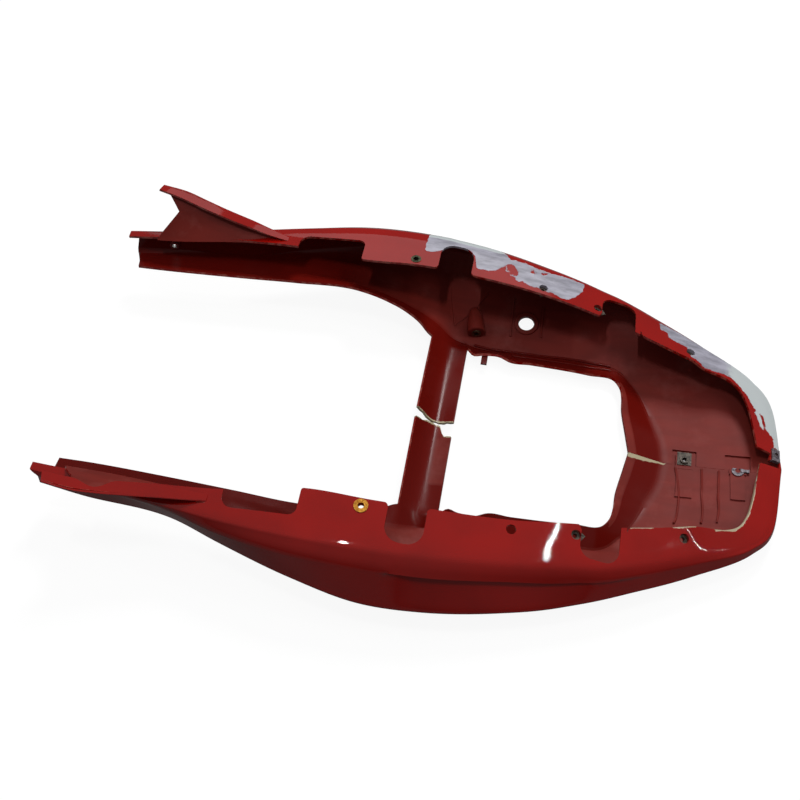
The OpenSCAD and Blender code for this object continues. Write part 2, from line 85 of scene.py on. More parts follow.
class CowlColours(bpy.types.PropertyGroup):
    gloss: paint("Gloss paint", "Red top coat on the outside", "#900B04")
    inside: paint("Bare inside", "Moulded inside face, dusty with overspray", "#76231C")
    primer: paint("Primer", "Lilac-grey primer where the paint has peeled", "#A09EAB")
    undercoat: paint("Undercoat", "Pale grey where the primer has thinned", "#B3B9BA")
    raw: paint("Raw plastic", "Cream plastic at broken edges", "#AA9E82")


# The form of one half, in millimetres
# Guide curves on the outer face, rows of station, x, y, z.
FLANGE = [[-350, -350, 157, 77], [-300, -300, 161, 80], [-200, -200, 165, 88], [-150, -150, 163, 92],
          [-70, -70, 151, 98], [0, 0, 153, 99], [60, 60, 151, 95], [135, 135, 145, 87], [200, 200, 133, 78],
          [240, 244, 124, 68], [262, 300, 108, 58], [265, 308, 105.5, 57], [270.5, 322, 100, 51],
          [278, 350, 95, 44], [289, 373, 70, 37], [300, 388, 0, 32]]
SHOULDER = [[-350, -350, 166, 77], [-300, -300, 172, 79], [-200, -200, 188, 84], [-150, -150, 195, 88],
            [-70, -70, 203, 94], [0, 0, 204, 95], [60, 60, 200, 91], [135, 135, 190, 82],
            [200, 200, 177, 71], [240, 252, 162, 60], [262, 317, 133, 48], [278, 372, 103, 36],
            [289, 397, 73, 30], [300, 408, 0, 26]]
UPPER = [[-350, -342, 169, 70], [-300, -300, 174, 72], [-200, -200, 187, 74], [-150, -150, 202, 75],
         [-70, -70, 216, 79], [0, 0, 218, 79], [60, 60, 215, 75], [135, 135, 202, 67],
         [200, 200, 187, 57], [240, 255, 169, 49], [262, 321, 138, 41], [278, 379, 106, 32],
         [289, 402, 75, 27], [300, 412, 0, 24]]
BILGE = [[-350, -346, 166, 52], [-300, -300, 172, 50], [-200, -200, 181, 47], [-150, -150, 199, 48],
         [-70, -70, 223, 45], [0, 0, 236, 41], [60, 60, 234, 39], [135, 135, 221, 37],
         [200, 200, 201, 34], [240, 258, 176, 31], [262, 322, 144, 28], [278, 380, 108, 25],
         [289, 403, 76, 22], [300, 413, 0, 20]]
TURN = [[-350, -345, 160, 45], [-300, -300, 165, 45], [-200, -200, 172, 44], [-150, -150, 188, 42],
        [-70, -70, 208, 34], [0, 0, 220, 28], [60, 60, 218, 24], [135, 135, 204, 22], [200, 200, 186, 20],
        [240, 250, 160, 18], [262, 312, 132, 16], [278, 370, 100, 14], [289, 392, 70, 12],
        [300, 402, 0, 11]]
DECK = [[-350, -341, 150, 46], [-300, -300, 152, 46], [-200, -200, 155, 46], [-150, -150, 162, 46],
        [-70, -70, 175, 36], [0, 0, 175, 22], [60, 60, 168, 10], [135, 135, 160, 9], [200, 200, 148, 8],
        [240, 245, 130, 8], [262, 290, 105, 7], [278, 335, 78, 6], [289, 350, 50, 5], [300, 356, 0, 5]]
FOOT = [[-350, -338, 143, 48], [-300, -300, 143, 48], [-200, -200, 145, 49], [-150, -150, 148, 50],
        [-70, -70, 152, 46], [-15, -15, 143, 34], [17, 17, 137, 20], [40, 40, 127, 5], [60, 60, 123, 0.5],
        [135, 135, 121, 0], [200, 200, 120, 0], [240, 240, 111, 0], [262, 262, 82, 0], [278, 275, 54, 0],
        [289, 286, 28, 0], [300, 291, 0, 0]]
RIM = [[-350, -336, 134, 50], [-300, -300, 134, 51], [-200, -200, 138, 52], [-150, -150, 141, 52],
       [-70, -70, 143, 50], [-40, -40, 138, 45], [-15, -15, 131, 38], [2, 2, 123, 31], [12, 12, 115, 26],
       [17, 17, 112, 24], [24, 24, 112, 18], [32, 32, 112, 13], [48, 48, 112, 10], [60, 60, 110, 11],
       [66, 66, 103, 12], [80, 80, 104.5, 12], [100, 100, 104.5, 12], [108, 108, 100.5, 12],
       [135, 135, 100, 12], [200, 200, 97, 12], [240, 232, 92, 12], [250, 237, 84, 12],
       [262, 239.5, 72, 12], [278, 241, 50, 12], [289, 246, 25, 12], [300, 251, 0, 12]]
GUIDES = [np.array(g, float) for g in (FLANGE, SHOULDER, UPPER, BILGE, TURN, DECK, FOOT, RIM)]
STATIONS = np.array(
    list(range(-350, -74, 25)) + list(range(-58, 3, 12)) + [12, 17, 24, 32, 40, 46, 49, 60, 66, 73, 84, 96, 108]
    + list(range(122, 193, 14)) + [206, 214, 222, 230, 237, 242.5, 248, 253.5, 259, 263.5, 267, 271.5, 277,
                                   282.5, 288, 293.5, 300], float)
# The cross bar: y of its rows, its height and where each half is broken off, at stations BAR_AT
BAR_Y = [90, 68, 46, 24]
BAR_Z = [33, 25.5, 18, 14.3, 14.3, 15.5, 19]
BAR_AT = [17, 24, 32, 39, 46, 50, 60]
LEFT_END = [6, 4, 1, 0.5, 0.5, 0.5, 0.5]
RIGHT_END = [5.5, 4.5, 1.5, 2, 4, 16, 17]
# The fin, rows of place, x, y, z: its foot, its middle, its top edge and the lip turned from it
FIN_BASE = [[0, -315, 167, 79.2], [2, -290, 168, 80.6], [4, -262, 170, 83], [6, -236, 172.5, 85.2],
            [8, -205, 175.5, 86.6], [10, -178, 177.5, 88.6], [11, -162, 178, 90]]
FIN_MID = [[0, -292, 183, 102], [2, -276, 184, 100.5], [4, -256, 184, 98], [6, -234, 183, 95.5],
           [8, -205, 182, 93], [10, -178, 180, 91.5], [11, -162, 178.5, 92]]
FIN_TOP = [[0, -312, 203, 123], [2, -286, 203.5, 117], [4, -262, 199.5, 110.5], [6, -238, 194.5, 105],
           [8, -208, 188.5, 99.5], [10, -180, 182.5, 95], [11, -161, 178.3, 93.6]]
FIN_LIP = [[0, -314, 191, 126], [2, -288, 189.3, 118], [4, -264, 184.5, 112], [6, -240, 179.5, 107.5],
           [8, -209, 174, 102], [10, -182, 171.5, 96], [11, -161, 170, 94]]
# Station and section place of the flange holes, the arm insert and the tail clip
HOLES = [(-9.9, 0.39), (136, 0.53), (199.5, 0.62), (262.1, 1.08)]
ARM_AT = (-302, 7.5)
TAB_AT = (298, 2.7)


def lean(g, i):
    """Slope of a guide at row i, weighted by the distance to its neighbours."""
    n = len(g) - 1
    p, s = g[:, 1:], g[:, 0]
    if i == 0:
        return (p[1] - p[0]) / (s[1] - s[0])
    if i == n:
        return (p[n] - p[n - 1]) / (s[n] - s[n - 1])
    a, b = s[i] - s[i - 1], s[i + 1] - s[i]
    return ((p[i] - p[i - 1]) / a * b + (p[i + 1] - p[i]) / b * a) / (a + b)


def guide(g, u):
    """Point of a guide at station u, on a smooth curve through its rows."""
    g = np.asarray(g, float)
    i = int(np.clip(np.searchsorted(g[:, 0], u) - 1, 0, len(g) - 2))
    h = g[i + 1][0] - g[i][0]
    t = (u - g[i][0]) / h
    c = ((2 * t ** 3 - 3 * t ** 2 + 1) * g[i][1:] + (t ** 3 - 2 * t ** 2 + t) * h * lean(g, i)
         + (3 * t ** 2 - 2 * t ** 3) * g[i + 1][1:] + (t ** 3 - t ** 2) * h * lean(g, i + 1))
    return c - [MID_X, 0, 0]


def unit(v):
    return v / (np.linalg.norm(v, axis=-1, keepdims=True) + 1e-12)


def mix(a, b, t):
    return a + (b - a) * t


def between(a, b, c, d):
    return (9 * (b + c) - a - d) / 16


def dent_share(u):
    """How deep the scoop is at a station, as a share of its depth."""
    return 0 if u <= 18 or u >= 248 else min(1, (u - 18) / 34) * min(1, (248 - u) / 90)


def section(u, sizes, soft=False):
    """The 18 points of one section of the outer face, from the flange's free edge to the rim; soft
    keeps the rolled shoulder within its short neighbours."""
    a, s, w, e, b, c, d, r = [guide(g, u) for g in GUIDES]
    low = mix(w, e, 0.86)
    dent = unit(np.array([0, -1, 0.1])) * sizes.scoop / MM * dent_share(u)
    k = sizes.shoulder / MM * min(1, np.linalg.norm(a - s) / 30)
    if soft:
        k *= 0.4 + 0.6 * np.clip((u + 60) / 110, 0, 1)
    k1, k2 = [min(k, 0.5 * np.linalg.norm(p - s)) if soft else k for p in (a, w)]
    s1, s2 = s + k1 * unit(a - s), s + k2 * unit(w - s)
    return np.array([a, mix(a, s1, 0.5), s1, (s1 + 2 * s + s2) / 4, s2, w, mix(w, low, 0.1) + dent,
                     mix(w, low, 0.5) + 0.55 * dent, low, e, between(low, e, b, c), b, between(e, b, c, d), c,
                     between(b, c, d, d), d, mix(d, r, 0.75), r])


def grid_normals(g):
    du, dv = np.empty_like(g), np.empty_like(g)
    du[1:-1], du[0], du[-1] = g[2:] - g[:-2], g[1] - g[0], g[-1] - g[-2]
    dv[:, 1:-1], dv[:, 0], dv[:, -1] = g[:, 2:] - g[:, :-2], g[:, 1] - g[:, 0], g[:, -1] - g[:, -2]
    return unit(np.cross(du, dv))


class Half:
    """Surfaces of one half: the coarse grid that seats the fixings, and the smooth one that shows."""

    def __init__(self, sizes):
        self.wall = sizes.wall / MM
        self.seam = sizes.seam / MM / 2
        raw = np.array([section(u, sizes) for u in STATIONS])
        self.shift = np.array([-(raw[..., 0].min() + raw[..., 0].max()) / 2, 0, -raw[..., 2].min()])
        self.out = raw + self.shift
        self.inn = self.out - self.wall * grid_normals(self.out)
        self.out[-1, :, 1] = self.inn[-1, :, 1] = self.seam
        rows, places = [], []
        for a, b in zip(STATIONS[:-1], STATIONS[1:]):
            reach = np.linalg.norm(guide(GUIDES[1], b) - guide(GUIDES[1], a))
            n = max(1, round(reach / (sizes.step / MM)))
            places += [a + (b - a) * k / n for k in range(n)]
        places.append(STATIONS[-1])
        self.places = np.array(places)
        for u in places:
            rows.append(self.smooth(section(u, sizes, True), dent_share(u)))
        self.fine = np.array(rows) + self.shift
        normal = grid_normals(self.fine)
        soft = normal.copy()
        soft[:, 1:-1] = unit(normal[:, :-2] + 2 * normal[:, 1:-1] + normal[:, 2:])
        self.fine_in = self.fine - self.wall * soft
        self.fine[-1, :, 1] = self.fine_in[-1, :, 1] = self.seam

    def smooth(self, p, dent):
        """A curve through a section's points, with creases at the scoop's edges and the frame's foot."""
        step = np.linalg.norm(np.diff(p, axis=0), axis=1)
        crease = {5: dent, 6: dent, 8: dent, 15: 1.0}
        tin, tout = np.zeros_like(p), np.zeros_like(p)
        for j in range(len(p)):
            if j == 0 or j == len(p) - 1:
                k = 0 if j == 0 else j - 1
                tin[j] = tout[j] = (p[k + 1] - p[k]) / step[k]
                continue
            a, b = (p[j] - p[j - 1]) / step[j - 1], (p[j + 1] - p[j]) / step[j]
            m = (a * step[j] + b * step[j - 1]) / (step[j] + step[j - 1])
            c = min(1.0, 3 * crease.get(j, 0.0))
            tin[j], tout[j] = mix(m, a, c), mix(m, b, c)
        pts = []
        for j in range(len(p) - 1):
            n = 4
            for k in range(n):
                t = k / n
                pts.append((2 * t ** 3 - 3 * t ** 2 + 1) * p[j] + (t ** 3 - 2 * t ** 2 + t) * step[j] * tout[j]
                           + (3 * t ** 2 - 2 * t ** 3) * p[j + 1] + (t ** 3 - t ** 2) * step[j] * tin[j + 1])
        pts.append(p[-1])
        return np.array(pts)

    def spot(self, u, v, h=0.0):
        """Place on the inner face at station u and section place v, raised by h to the inside."""
        i = int(np.clip(np.searchsorted(STATIONS, u, "right") - 1, 0, len(STATIONS) - 2))
        t = (u - STATIONS[i]) / (STATIONS[i + 1] - STATIONS[i])
        j = min(int(v), self.out.shape[1] - 2)
        at = [mix(mix(g[i][j], g[i][j + 1], v - j), mix(g[i + 1][j], g[i + 1][j + 1], v - j), t)
              for g in (self.out, self.inn)]
        return at[1] + h * unit(at[1] - at[0])

    def place(self, x, y, z):
        return np.array([x - MID_X, y, z]) + self.shift

    def seat(self, u, v, h=0.0):
        """A frame on the inner face with its Z to the inside."""
        return along(self.spot(u, v, h), self.spot(u, v, 1) - self.spot(u, v, 0))

    def tail(self):
        p = self.spot(*TAB_AT, -self.wall)
        return along(p, self.spot(*TAB_AT, -self.wall - 1) - p)

    def lap(self, v0, v1):
        p, q = self.spot(300, v0), self.spot(300, v1)
        m = Matrix.Translation(Vector(((p[0] + q[0]) / 2, 0, (p[2] + q[2]) / 2)))
        return m @ Matrix.Rotation(-math.atan2(q[2] - p[2], q[0] - p[0]), 4, "Y")


def along(p, d):
    """A frame at p whose Z points along d, turned as the solids' frames are."""
    m = Matrix.Rotation(math.atan2(d[1], d[0]), 4, "Z") @ Matrix.Rotation(
        math.acos(d[2] / np.linalg.norm(d)), 4, "Y")
    return Matrix.Translation(Vector(p)) @ m


# Mesh helpers
FINISHES = ("gloss_paint_on_abs", "moulded_abs_inside", "gloss_paint_edge")
OUTSIDE, INSIDE, EDGE = 0, 1, 2


def new_piece(name, points, faces, mirror=False, kinds=None):
    """A mesh object at the origin from points in millimetres, mirrored across the seam for the right
    half; kinds gives the finish of every face, or one for all."""
    points = np.array(points, float) * MM
    if mirror:
        points = points * [1, -1, 1]
        faces = [tuple(reversed(f)) for f in faces]
    mesh = bpy.data.meshes.new(name)
    mesh.from_pydata([tuple(p) for p in points], [], [tuple(int(i) for i in f) for f in faces])
    for kind in (OUTSIDE, INSIDE, EDGE):
        mesh.materials.append(finish(kind))
    kinds = [kinds] * len(faces) if isinstance(kinds, int) else kinds
    mesh.polygons.foreach_set("material_index", kinds)
    mesh.validate()
    obj = bpy.data.objects.new(name, mesh)
    bpy.context.scene.collection.objects.link(obj)
    return obj


def skin(nu, nv, a, flip):
    out = []
    for i in range(nu - 1):
        for j in range(nv - 1):
            p = a + i * nv + j
            q = p + nv
            out.append((p, p + 1, q + 1, q) if flip else (p, q, q + 1, p + 1))
    return out


def band(e, f):
    return [(f[k], f[k + 1], e[k + 1], e[k]) for k in range(len(e) - 1)]


def sheet(a, b):
    """Points and faces of a closed sheet between two grids, a on the side of the grid's normal."""
    nu, nv = a.shape[:2]
    n = nu * nv
    rim = ([j for j in range(nv)] + [i * nv + nv - 1 for i in range(1, nu)]
           + [(nu - 1) * nv + nv - 1 - j for j in range(1, nv)] + [(nu - 1 - i) * nv for i in range(1, nu)])
    faces = skin(nu, nv, 0, False) + skin(nu, nv, n, True) + band([k + n for k in rim], rim)
    return np.concatenate([a.reshape(-1, 3), b.reshape(-1, 3)]), faces


def turned(profile, n, m=Matrix()):
    """A closed turned shape from a profile of (radius, height) that starts and ends on the axis."""
    pts, faces, rings = [], [], []
    for r, z in profile:
        if r < 1e-6:
            rings.append([len(pts)])
            pts.append((0, 0, z))
        else:
            rings.append(list(range(len(pts), len(pts) + n)))
            pts += [(r * math.cos(2 * math.pi * k / n), r * math.sin(2 * math.pi * k / n), z) for k in range(n)]
    for a, b in zip(rings[:-1], rings[1:]):
        for k in range(n):
            l = (k + 1) % n
            f = [a[k % len(a)], a[l % len(a)], b[l % len(b)], b[k % len(b)]]
            faces.append(tuple(dict.fromkeys(f)))
    return [m @ Vector(p) for p in pts], faces


def drum(d, z0, z1, m, n=48):
    return turned([(0, z0), (d / 2, z0), (d / 2, z1), (0, z1)], n, m)


def prism(outline, z0, z1, m=Matrix()):
    """An upright block over a plan outline that runs anticlockwise."""
    n = len(outline)
    pts = [m @ Vector((x, y, z)) for z in (z0, z1) for x, y in outline]
    faces = [tuple(reversed(range(n))), tuple(range(n, 2 * n))]
    faces += [(k, (k + 1) % n, n + (k + 1) % n, n + k) for k in range(n)]
    return pts, faces


def block(x0, x1, y0, y1, z0, z1, m=Matrix()):
    return prism([(x0, y0), (x1, y0), (x1, y1), (x0, y1)], z0, z1, m)


def rounded(x0, x1, y0, y1, r, n=5):
    out = []
    for cx, cy, a in ((x1 - r, y0 + r, -90), (x1 - r, y1 - r, 0), (x0 + r, y1 - r, 90), (x0 + r, y0 + r, 180)):
        out += [(cx + r * math.cos(math.radians(a + 90 * k / n)), cy + r * math.sin(math.radians(a + 90 * k / n)))
                for k in range(n + 1)]
    return out


def carve(obj, steps):
    """Applies a list of (operation, tool object) to obj and deletes the tools."""
    for operation, tool in steps:
        m = obj.modifiers.new(tool.name, "BOOLEAN")
        m.operation, m.object, m.solver = operation, tool, "MANIFOLD"
    result = bpy.data.meshes.new_from_object(obj.evaluated_get(bpy.context.evaluated_depsgraph_get()))
    if len(result.polygons) < 1000:
        raise RuntimeError("the cuts left nothing of " + obj.name)
    obj.modifiers.clear()
    obj.data = result
    for _, tool in steps:
        bpy.data.objects.remove(tool)


# The mouldings
def shell(half, ends):
    """The wall of one half with its share of the broken cross bar, as one closed mesh."""
    out, inn = half.fine, half.fine_in
    nu, nv = out.shape[:2]
    rows = [i for i, u in enumerate(half.places) if BAR_AT[0] <= u <= BAR_AT[-1]]
    bar = []
    for i in rows:
        r = out[i][-1] - half.shift
        mid = np.interp(half.places[i], BAR_AT, BAR_Z)
        end = np.interp(half.places[i], BAR_AT, ends)
        end += 0.9 * math.sin(2.3 * i) * math.sin(0.9 * i + 1)
        ys = list(np.linspace(r[1], BAR_Y[0], 7)[1:]) + list(np.linspace(BAR_Y[0], BAR_Y[-1], 18)[1:]) \
            + list(np.linspace(BAR_Y[-1], end, 6)[1:])
        bar.append([np.array([r[0], y, mix(r[2], mid, ((r[1] - y) / r[1]) ** 0.8)]) + half.shift for y in ys])
    bar = np.array(bar)
    nb = bar.shape[1]
    full = np.concatenate([out[rows][:, -2:], bar], axis=1)
    bar_in = (full - half.wall * grid_normals(full))[:, 2:]
    n, m = nu * nv, len(rows) * nb
    b0, b1 = rows[0], rows[-1]

    def o(i, j):
        return i * nv + j if j < nv else 2 * n + (i - b0) * nb + j - nv

    def d(i, j):
        return n + i * nv + j if j < nv else 2 * n + m + (i - b0) * nb + j - nv

    edge = ([(0, j) for j in range(nv)] + [(i, nv - 1) for i in range(1, b0 + 1)]
            + [(b0, nv + k) for k in range(nb)] + [(i, nv + nb - 1) for i in range(b0 + 1, b1 + 1)]
            + [(b1, nv + nb - 1 - k) for k in range(1, nb + 1)] + [(i, nv - 1) for i in range(b1 + 1, nu)]
            + [(nu - 1, nv - 1 - j) for j in range(1, nv)] + [(nu - 1 - i, 0) for i in range(1, nu)])
    outer, inner = skin(nu, nv, 0, False), skin(nu, nv, n, True)
    for i in range(b0, b1):
        for j in range(nv - 1, nv + nb - 1):
            outer.append((o(i, j), o(i + 1, j), o(i + 1, j + 1), o(i, j + 1)))
            inner.append((d(i, j), d(i, j + 1), d(i + 1, j + 1), d(i + 1, j)))
    rim = band([d(*e) for e in edge], [o(*e) for e in edge])
    points = np.concatenate([g.reshape(-1, 3) for g in (out, inn, bar, bar_in)])
    kinds = [OUTSIDE] * len(outer) + [INSIDE] * len(inner) + [EDGE] * len(rim)
    return points, outer + inner + rim, kinds


def notch(half, x, w, y, r, r2, z):
    """Cuts straight down through the flange, with rounded inner corners."""
    p = half.place(x, y, z)

    def arc(cx, cr, a0):
        return [(p[0] + cx + cr * math.cos(math.radians(a0 - a)), p[1] - cr + cr * math.sin(math.radians(a0 - a)))
                for a in range(0, 91, 9)]
    line = [(p[0] - w / 2, p[1] - 70)] + arc(-w / 2 + r, r, 180) + arc(w / 2 - r2, r2, 90)
    line.append((p[0] + w / 2, p[1] - 70))
    return prism(line[::-1], p[2], p[2] + 60)


def soft_corner(half, u, side, r, z):
    """Cuts the corner between a notch and the flange's free edge to a radius; side is +1 toward the tail."""
    p, q = half.spot(u, 0), half.spot(u + side * r, 0)
    slope = (q[1] - p[1]) / (q[0] - p[0])
    arc = [(side * r * (1 - math.cos(a)), r * (1 - math.sin(a))) for a in np.linspace(0, math.pi / 2, 8)]
    line = [(-side, r)] + arc + [(side * r, -4), (-side, -4)]
    line = [(p[0] + x, p[1] + y + slope * x) for x, y in line]
    return prism(line if side < 0 else line[::-1], z, z + 70)


def pad(half, a, b, c, d, h):
    """A raised pad between four places on the inner face."""
    a, b, c, d = (np.array(p, float) for p in (a, b, c, d))
    g = [[mix(mix(a, b, i / 8), mix(c, d, i / 8), j / 6) for j in range(7)] for i in range(9)]
    top = np.array([[half.spot(*p, h) for p in r] for r in g])
    low = np.array([[half.spot(*p, -half.wall / 2) for p in r] for r in g])
    return sheet(low, top)


def half_steps(half, sizes, left):
    """The raised features and the cuts of one half, in the order that they are made."""
    w = half.wall
    raised, cut, pockets = [], [], []
    for p in HOLES:
        raised.append(drum(16.5, -w / 2, 1, half.seat(*p)))
    cut += [notch(half, 35, 38, 192, 16, 16, 60), notch(half, 223.5, 39, 164, 12, 14, 46),
            notch(half, -109, 76, 181, 12, 8, 60)]
    cut += [soft_corner(half, *c) for c in ((16, -1, 5, 60), (54, 1, 5, 60), (204, -1, 5, 46), (243, 1, 5, 46),
                                            (-71, 1, 2.5, 60))]
    for k, p in enumerate(HOLES):
        cut.append(drum(9.8 if k == 0 else sizes.hole / MM, -2 * w, 2 * w, half.seat(*p)))
    front, rear = half.lap(14.56, 13.95), half.lap(12.76, 12.19)
    if left:
        a, b = half.spot(59.7, 12.9, 2.5), half.spot(65.7, 14.27, 8)
        h, r = float(np.linalg.norm(b - a)), sizes.boss / MM / 2
        dome = [(0, 0)] + [(mix(2.5, r, math.sqrt(1 - (1 - t) ** 2)), h * t) for t in np.linspace(0, 1, 14)]
        raised.append(turned(dome[:-1] + [(r, h - 0.6), (r - 0.7, h), (0, h)], 64, along(a, b - a)))
        raised.append(turned([(0, -w / 2), (sizes.lock_ring / MM / 2 + 0.6, -w / 2),
                           (sizes.lock_ring / MM / 2, 2.0), (sizes.lock_ring / MM / 2 - 0.6, 2.5), (0, 2.5)],
                          64, half.seat(123.1, 13.04)))
        p = half.place(81, 101, 9.6)
        raised.append(block(p[0] - 3.5, p[0] + 3.5, p[1] - 7, p[1] + 7, p[2] - 1.1, p[2] + 1.1))
        raised.append(drum(15, -w / 2, 1, half.seat(*ARM_AT)))
        raised.append(pad(half, [27.6, 12.24], [74, 11.98], [38.5, 14.14], [56.6, 13.15], 1.2))
        tl = half.tail()
        raised.append(prism([(-4.75, -7.2), (4.75, -7.2), (4.35, 6.8), (0, 9.8), (-4.35, 6.8)], -1.1, 1, tl))
        cut.append(drum(sizes.lock / MM, -9, 9, half.seat(123.1, 13.04), 96))
        cut.append(drum(8.2, -5, 8, along(b, a - b), 32))
        cut.append(drum(8.2, -2 * w, 2 * w, half.seat(*ARM_AT), 32))
        pockets.append(prism(rounded(-13, 13, -1, 19, 0.8), -0.6 * w, 28, front))
        pockets.append(prism(rounded(-13.5, 13.5, -1, 19, 0.8), -0.6 * w, 28, rear))
        cut.append(drum(6.4, -9, 9, front @ Matrix.Translation((0, 5, 0)), 32))
        cut.append(block(-34, 5, -24, -7, -9, 9, tl))
        cut.append(block(-30, 0, -26, 0, -9, 9,
                         tl @ Matrix.Translation((-4.75, 1.5, 0)) @ Matrix.Rotation(math.radians(-12), 4, "Z")))
        cut.append(drum(6.4, -9, 9, tl, 32))
    else:
        raised.append(pad(half, [288.7, 13.79], [299, 13.95], [286.6, 14.3], [299, 14.56], 1.5))
        raised.append(pad(half, [293.6, 12.04], [299, 12.19], [292.7, 12.61], [299, 12.76], 1.5))
        for m, tip in ((front, 14), (rear, 1.5)):
            raised.append(prism(rounded(-9, 9, -tip, 0.7, 0.7), 0, 1.8, m))
            raised.append(block(-9, 9, 0.6, 5.6, -w / 2, 1.8, m))
        cut.append(drum(6.4, -9, 9, front @ Matrix.Translation((0, -5, 0)), 32))
    return raised, cut, pockets


def gloss_and_painted_shade(obj, half, mirror):
    """Stores where the inside is glossier and a darker deep red: the frame round the opening, the bar and the arms.
    The gloss is paint that reached the inside. The darker red is partly painted shade, most of all inside the arms
    and on the bar's steep plane.
    """
    out = half.fine.reshape(-1, 3)
    tree = KDTree(len(out))
    for i, p in enumerate(out):
        tree.insert(p, i)
    tree.balance()
    nv = half.fine.shape[1]
    values = []
    for p in plan_points(obj, mirror):
        at = (tree.find(p)[1] % nv) / 4
        edge = np.clip(5 * (at - 14.9), 0, 1) - (np.clip(5 * (at - 16), 0, 1) if p[0] > 205 else 0)
        # On the near bar the steep plane gets the full mark and the flat plane little: painted shade on the steep
        # plane.
        if mirror and -20 < p[0] < 32 and p[1] < 78:
            edge = np.clip((13 - p[0]) / 3, 0.1, 1)
        # Full mark toward the front ends of the arms: painted shade inside the arms.
        values.append(max(edge, np.clip((-70 - p[0]) / 60, 0, 1)))
    mark(obj, "gloss_and_painted_shade", values)


# Wear marks, as distances
PEEL = [  # outlines of peeled paint on the left flange, in plan
    [(-33, 203), (-33, 212), (-9, 214), (18, 212), (33, 210), (50, 206), (57, 197), (62, 189), (82, 187),
     (96, 183), (110, 181), (130, 181), (150, 177), (148, 163), (140, 151), (133, 145), (127, 144), (122, 146),
     (116, 150), (110, 149), (98, 153), (93, 152), (84, 155), (73, 156), (71, 161), (63, 164), (56, 174),
     (48, 165), (40, 163), (27, 163), (23, 181), (16, 190), (4, 189), (-6, 188), (-14, 182), (-25, 176),
     (-35, 176), (-34, 189)],
    [(238, 152), (262, 146), (286, 138), (322, 125), (356, 104), (376, 80), (392, 30), (392, 8), (372, 8),
     (371, 36), (361, 46), (358, 59), (350, 67), (346, 72), (341, 82), (333, 90), (323, 99), (314, 101),
     (296, 101), (289, 102), (284, 107), (275, 109), (271, 124), (264, 126), (251, 130), (247, 139), (240, 140)],
    [(349, 64), (356, 65), (359, 54), (361, 42), (357, 45), (354, 53)],
]
ISLANDS = [[(61, 180), (67, 181), (75, 169), (73, 163), (64, 168), (59, 174)],
           [(86, 178), (93, 179), (94, 174), (88, 173)], [(99, 178), (106, 178), (106, 174), (101, 174)],
           [(77, 159), (83, 158), (82, 155), (78, 156)],
           [(357, 62), (359.5, 60), (362, 48), (360, 45), (358.5, 53), (355, 63)]]


def inside_by(outline, pts):
    """Distance of plan points to an outline, positive inside it."""
    poly = np.array(outline, float)
    x, y = pts[:, 0], pts[:, 1]
    inside = np.zeros(len(pts), bool)
    near = np.full(len(pts), 1e9)
    for a, b in zip(poly, np.roll(poly, -1, axis=0)):
        cross = ((a[1] > y) != (b[1] > y)) & (x < (b[0] - a[0]) * (y - a[1]) / (b[1] - a[1] + 1e-12) + a[0])
        inside ^= cross
        e = b - a
        t = np.clip(((pts - a) @ e) / (e @ e), 0, 1)
        near = np.minimum(near, np.linalg.norm(pts - a - t[:, None] * e, axis=1))
    return np.where(inside, near, -near)


def mark(obj, name, values):
    data = obj.data.attributes.new(name, "FLOAT", "POINT").data
    data.foreach_set("value", np.asarray(values, np.float32))


def plan_points(obj, mirror):
    """Vertices in millimetres, the right half mirrored onto the left."""
    co = np.empty(len(obj.data.vertices) * 3, np.float32)
    obj.data.vertices.foreach_get("co", co)
    p = co.reshape(-1, 3).astype(float) / MM
    return p * [1, -1, 1] if mirror else p


def wear(obj, left):
    """Stores how far each vertex lies inside peeled paint, a pale undercoat and raw broken edges."""
    p = plan_points(obj, not left)
    plan = p[:, :2]
    peel = np.full(len(p), -20.0)
    pale = np.full(len(p), -20.0)
    if left:
        for o in PEEL:
            peel = np.maximum(peel, inside_by(o, plan))
        for o in ISLANDS:
            peel = np.minimum(peel, -inside_by(o, plan))
        flange = (p[:, 2] > 15) & (plan[:, 1] > 0)
        lip = np.interp(plan[:, 0], [-33, 0, 60, 240, 286, 322, 355, 385], [74, 74, 71, 44, 36, 31, 24, 19])
        peel = np.where(flange & (p[:, 2] > lip), peel, -20.0)
        strip = np.interp(plan[:, 0], [-40, -31, -9, 19, 51, 60], [202, 200.5, 200, 197, 195, 199])
        pale = np.where(plan[:, 0] < 62, plan[:, 1] - strip, plan[:, 0] / 8 - 40.0)
    mark(obj, "peel", peel)
    mark(obj, "pale", pale)
    bar = (p[:, 0] > -18) & (p[:, 0] < 31) & (p[:, 1] < 26)
    raw = np.interp(p[:, 0] + TABLE_X, BAR_AT, LEFT_END if left else RIGHT_END) + 1.8 - p[:, 1]
    raw = np.where(bar, np.clip(raw, -20, 3), -20)
    if not left:
        edge = np.interp(p[:, 0] + TABLE_X, [r[1] for r in FLANGE], [r[2] for r in FLANGE])
        rim = 0.9 - np.abs(p[:, 1] - edge) + np.minimum(0, 4 * np.sin(p[:, 0] / 7))
        raw = np.where((p[:, 0] > 214) & (p[:, 0] < 310) & (p[:, 2] > 40), rim, raw)
        inner = inside_by([(212, -2), (266, -2), (262, 1.5), (238, 4.5), (222, 5.5), (212, 4)], plan)
        tail = inside_by([(353, 3), (349, 27), (345, 46), (339, 67), (330, 83), (322, 91), (306, 98), (306, 100),
                          (320, 95.5), (327, 94), (335, 86), (343, 70), (348, 49), (351, 28), (354.5, 3), (354, 1),
                          (360, -2), (353, -2)], plan)
        raw = np.maximum(raw, np.where(p[:, 2] > 24, tail, np.where(p[:, 2] < 20, inner, -20)))
    mark(obj, "raw", raw)


